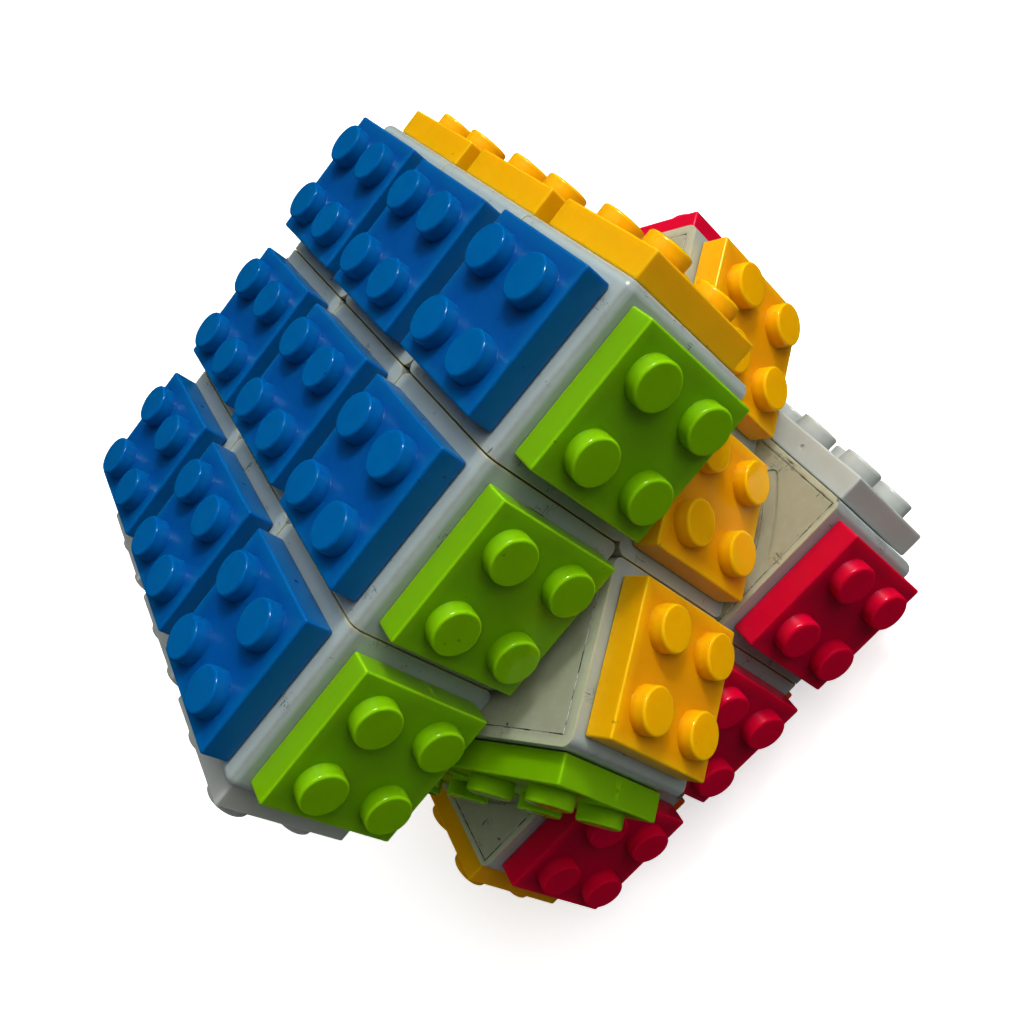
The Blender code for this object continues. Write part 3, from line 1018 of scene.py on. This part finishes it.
def centre_mesh():
    """A block on a hollow stem. The screw passes through the stem's floor, and the spring presses on it."""
    steps = [
        ("DIFFERENCE", ball(FOOT_OUTSIDE + FOOT_CLEARANCE)),
        ("UNION", rod(STEM_RADIUS, STEM_START, STEM_TOP)),
        ("DIFFERENCE", rod(STEM_BORE, STEM_START + STEM_FLOOR, PLATE_SEAT)),
        ("DIFFERENCE", rod(SCREW_HOLE, STEM_START - STEM_FLOOR, STEM_TOP)),
    ]
    return combine(cubie_block("centre"), steps)


SHELLS = {}
for kind, make in (("corner", corner_mesh), ("edge", edge_mesh), ("centre", centre_mesh)):
    SHELLS[kind] = shade(make())
    write_attribute(SHELLS[kind], "rim", shell_rim)
    print(kind, "shell:", len(SHELLS[kind].polygons), "faces")

# %% [markdown]
# ## Putting the cubies together
#
# The cells of the grid are walked in the order in which the frame names them. Each cubie gets its shell and a
# tile for every outer side, all riding on the body of its layer. On the top layer the frame has a node for
# each tile. On the other two the tile is part of the cubie's node, so the shell and its tiles stand for that
# node together. Tiles are pressed on by hand on the real thing, so each is a little out of place.

# %% Places of the pieces
# LOOSE_TILE is the side and the cell of the one tile that sits well out of line.
TILE_SHIFT = 0.12 * MM
TILE_TURN = math.radians(0.5)
LOOSE_TILE = ((0, 0, 1), (0, 1, 1))
LOOSE_SLIP = Vector((-0.45, -0.2, 0)) * MM
KIND_OF_COUNT = {1: "centre", 2: "edge", 3: "corner"}
LAYER_WITH_TILE_NODES = 1
SEED_RANGE = (1, 9)
slips = random.Random(7)


def turn_to(side):
    """The rotation that takes +Z to a side of the cube."""
    return UP.rotation_difference(Vector(side)).to_matrix().to_4x4()


def cube_rotations():
    """The 24 turns of a cube, each from where it takes two of the axes."""
    axes = [Vector(side) for side in SIDE_COLOURS]
    for first, second in itertools.permutations(axes, 2):
        if not first.dot(second):
            yield Matrix((first, second, first.cross(second))).transposed()


def turn_between(start, end):
    """A rotation of the cube that takes one cell to another. Cells are at least 1 apart."""
    for turn in cube_rotations():
        if (turn @ Vector(start) - Vector(end)).length < 0.5:
            return turn.to_4x4()
    raise ValueError(f"no rotation takes {start} to {end}")


def outer_sides(cell):
    """The sides that a cell shows, with Z first, then X, then Y."""
    return [tuple(cell[axis] if i == axis else 0 for i in range(3)) for axis in (2, 0, 1) if cell[axis]]


def tile_place(side, cell):
    """Where a tile made on the +Z face of the middle cell goes, with its own small slip."""
    across = Vector([0 if along else step for along, step in zip(side, cell)]) * PITCH
    slip = Vector((slips.uniform(-1, 1), slips.uniform(-1, 1), 0)) * TILE_SHIFT
    if (side, cell) == LOOSE_TILE:
        slip += LOOSE_SLIP
    twist = Matrix.Rotation(slips.uniform(-1, 1) * TILE_TURN, 4, "Z")
    return Matrix.Translation(across) @ turn_to(side) @ Matrix.Translation(slip) @ twist


# %% Put one piece in its place
def place_piece(name, mesh, place, layer, node):
    """A piece on its layer's body, standing for a CAD node. It keeps its own coordinates for its patterns."""
    own = mesh.copy()
    own_place = own.attributes.new("own_place", "FLOAT_VECTOR", "POINT")
    own_place.data.foreach_set("vector", [value for vertex in mesh.vertices for value in vertex.co])
    own.transform(layer["matrix"] @ place)
    piece = object_of(own, name)
    piece["seed"] = slips.uniform(*SEED_RANGE)
    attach(piece, layer["body"])
    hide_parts(node)
    return piece


# %% Shells and tiles
TILES = {}
for name, plastic in TILE_PLASTICS.items():
    TILES[name] = TILE.copy()
    TILES[name].materials.append(plastic)

tile_count = dict.fromkeys(SIDE_COLOURS.values(), 0)
for cell in sorted(itertools.product((1, 0, -1), repeat=3), key=lambda cell: -cell[2]):
    kind = KIND_OF_COUNT.get(sum(map(abs, cell)))
    if not kind:
        continue
    layer = LAYERS[cell[2]]
    sides = outer_sides(cell)
    node = "_".join([kind] + [SIDE_COLOURS[side] for side in sides])
    turn = turn_between(TEMPLATE_CELL[kind], cell)
    place_piece(f"{node}_shell", SHELLS[kind], turn, layer, node)
    for side in sides:
        colour = SIDE_COLOURS[side]
        tile_count[colour] += 1
        number = tile_count[colour]
        own_node = f"tile_{colour}_{number}" if cell[2] == LAYER_WITH_TILE_NODES else node
        place = tile_place(side, cell)
        place_piece(f"stud_tile_{colour}_{number}", TILES[colour], place, layer, own_node)
print("tiles:", tile_count)

# %% [markdown]
# ## Core, screws and springs
#
# None of these is seen from outside, but the puzzle can't work without them. They are a ball core with six
# arms, pan-head screws with a slot, and springs of round wire. A true thread would be a helix like the
# spring's, but at this size a stack of ridges looks the same and is simple to turn.

# %% Sizes of the mechanism
CORE_BALL = 7 * MM
ARM_RADIUS = 3.2 * MM
ARM_END = 11 * MM
THREAD_HOLE = 1.45 * MM
SCREW_START = 4.5 * MM
SCREW_RADIUS = 1.2 * MM
THREAD_PITCH = 0.5 * MM
THREAD_DEPTH = 0.12 * MM
HEAD_START = 19 * MM
HEAD_HEIGHT = 1.8 * MM
HEAD_RADIUS = 2.7 * MM
HEAD_DOME = HEAD_HEIGHT / 2
SLOT_WIDTH = 0.8 * MM
SPRING_RADIUS = 2.05 * MM
SPRING_WIRE = 0.3 * MM
SPRING_GAP = 0.3 * MM
SPRING_TURNS = 4
SPRING_STEPS = 32
WIRE_SIDES = 12
OVERLAP = 0.2 * MM


# %% Finishes of the mechanism
CORE_BLACK = (0.025, 0.025, 0.027)
CORE_SCRATCH_DEPTH = 0.02 * MM
STEEL_SCRATCH_DEPTH = 0.01 * MM


def core_plastic():
    material, tree, shader = new_material("core_black")
    tone = use_group(tree, MOTTLE, size=0.002, strength=0.4)["Tone"]
    tree.links.new(scale_colour(tree, CORE_BLACK, tone), shader.inputs["Base Color"])
    wear = use_group(tree, HANDLING, roughness=0.42, wear=0.4)
    tree.links.new(wear["Roughness"], shader.inputs["Roughness"])
    set_bump(tree, shader, wear["Height"], CORE_SCRATCH_DEPTH)
    return material


def steel(name, colour, roughness):
    material, tree, shader = new_material(name, metallic=1.0)
    tone = use_group(tree, MOTTLE, size=0.001, strength=0.3)["Tone"]
    tree.links.new(scale_colour(tree, colour, tone), shader.inputs["Base Color"])
    wear = use_group(tree, HANDLING, roughness=roughness, wear=1.0)
    tree.links.new(wear["Roughness"], shader.inputs["Roughness"])
    set_bump(tree, shader, wear["Height"], STEEL_SCRATCH_DEPTH)
    return material


# %% Core, screw and spring meshes
def core_mesh():
    """A ball with six arms, each drilled for its screw."""
    steps = []
    for radius, start, end, operation in (
        (ARM_RADIUS, 0, ARM_END, "UNION"),
        (THREAD_HOLE, SCREW_START - OVERLAP, ARM_END + OVERLAP, "DIFFERENCE"),
    ):
        for side in SIDE_COLOURS:
            tool = rod(radius, start, end, STUD_SIDES)
            tool.data.transform(turn_to(side))
            steps.append((operation, tool))
    return shade(combine(ball(CORE_BALL), steps))


def screw_mesh():
    """A turned pan-head screw: ridges for the thread, a domed head, and a slot cut across it."""
    ridges = []
    height = SCREW_START
    while height < ARM_END:
        ridges += [(SCREW_RADIUS - THREAD_DEPTH, height), (SCREW_RADIUS, height + THREAD_PITCH / 2)]
        height += THREAD_PITCH
    head_top = HEAD_START + HEAD_HEIGHT
    dome = []
    for step in range(FILLET_STEPS + 1):
        angle = math.pi / 2 * step / FILLET_STEPS
        drop = HEAD_DOME * (1 - math.sin(angle))
        dome.append((HEAD_RADIUS - HEAD_DOME * (1 - math.cos(angle)), head_top - drop))
    shank = [(SCREW_RADIUS, ARM_END + THREAD_PITCH), (SCREW_RADIUS, HEAD_START)]
    profile = [(0, SCREW_START), *ridges, *shank, (HEAD_RADIUS, HEAD_START), *dome, (0, head_top)]
    slot_low = (-2 * HEAD_RADIUS, -SLOT_WIDTH / 2, head_top - SLOT_WIDTH)
    slot_high = (2 * HEAD_RADIUS, SLOT_WIDTH / 2, head_top + SLOT_WIDTH)
    return shade(combine(lathe(profile), [("DIFFERENCE", plain_block(slot_low, slot_high))]))


def spring_mesh():
    """Round wire swept along a helix, between the stem's floor and the screw's head."""
    start = STEM_START + STEM_FLOOR + SPRING_GAP + SPRING_WIRE
    end = HEAD_START - SPRING_GAP - SPRING_WIRE
    steps = SPRING_TURNS * SPRING_STEPS
    work = bmesh.new()
    rings = []
    turns = [2 * math.pi * side / WIRE_SIDES for side in range(WIRE_SIDES)]
    for step in range(steps + 1):
        angle = 2 * math.pi * step / SPRING_STEPS
        outward = Vector((math.cos(angle), math.sin(angle), 0))
        middle = outward * SPRING_RADIUS + UP * (start + (end - start) * step / steps)
        round_wire = [outward * math.cos(turn) + UP * math.sin(turn) for turn in turns]
        rings.append([work.verts.new(middle + SPRING_WIRE * reach) for reach in round_wire])
    for lower, upper in itertools.pairwise(rings):
        bridge(work, lower, upper)
    work.faces.new(rings[0])
    work.faces.new(rings[-1])
    return shade(read_back(draft_object(work)))


# %% Place the mechanism
mechanism = {
    "core": (core_mesh(), core_plastic(), "core_black"),
    "screw": (screw_mesh(), steel("screw_steel", (0.60, 0.60, 0.62), 0.28), "screw_steel"),
    "spring": (spring_mesh(), steel("spring_steel", (0.50, 0.51, 0.54), 0.34), "spring_steel"),
}
for mesh, material, _ in mechanism.values():
    mesh.materials.clear()
    mesh.materials.append(material)
mesh, _, slot = mechanism["core"]
place_piece("core_body", mesh, Matrix(), LAYERS[0], "core_spider")
for side, colour in SIDE_COLOURS.items():
    for part in ("screw", "spring"):
        mesh, _, slot = mechanism[part]
        place_piece(f"{colour}_{part}", mesh, turn_to(side), LAYERS[0], f"{part}_{colour}")
print("mechanism:", sorted(mechanism))

# %% [markdown]
# ## Floor
#
# A plain, pale floor under the studs. It is a large flat sheet, so it fills the view. A pure white floor
# would throw too much light up at the puzzle. So bounced light meets a grey one, and the camera alone sees it
# white and a little lit, as paper looks beside a shaded object.


# %% Floor
FLOOR_HALF = 6.0
FLOOR_SEEN = 0.92
FLOOR_BOUNCE = 0.33
FLOOR_LIFT = 0.62
FLOOR_GAP = 0.02 * MM
FLOOR_CELLS = 8
PAPER_SCALE = 3.0
PAPER_TONES = (0.98, 1.02)


def floor_material():
    material, tree, shader = new_material("pale_floor", roughness=0.9)
    seen = add_node(tree, "ShaderNodeLightPath").outputs["Is Camera Ray"]
    paper = noise(tree, add_node(tree, "ShaderNodeTexCoord").outputs["Object"], PAPER_SCALE)
    tone = band(tree, paper, 0.0, 1.0, *PAPER_TONES)
    level = mix_colours(tree, seen, (FLOOR_BOUNCE,) * 3 + (1,), (FLOOR_SEEN,) * 3 + (1,))
    tree.links.new(scale_colour(tree, level, tone), shader.inputs["Base Color"])
    shader.inputs["Emission Color"].default_value = (1, 1, 1, 1)
    tree.links.new(calc(tree, "MULTIPLY", seen, FLOOR_LIFT), shader.inputs["Emission Strength"])
    return material


work = bmesh.new()
bmesh.ops.create_grid(work, x_segments=FLOOR_CELLS, y_segments=FLOOR_CELLS, size=FLOOR_HALF)
bmesh.ops.translate(work, verts=work.verts, vec=UP * (cad_low.z - FLOOR_GAP))
floor = draft_object(work, "floor")
floor.data.materials.append(floor_material())
floor.visible_glossy = False
floor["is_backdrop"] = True
print("floor at", round(floor.data.vertices[0].co.z / MM, 2), "mm")

# %% [markdown]
#
# The scene's box is measured against the CAD model's box, and how far it reaches past on each axis is
# printed. The visual model has to stay inside the CAD model's box.

# %% Compare the boxes and finish
bpy.context.view_layer.update()
low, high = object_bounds()
past = [max(a - b, d - c) for a, b, c, d in zip(cad_low, low, cad_high, high)]
print("past the CAD box, mm:", [round(length / MM, 3) for length in past])
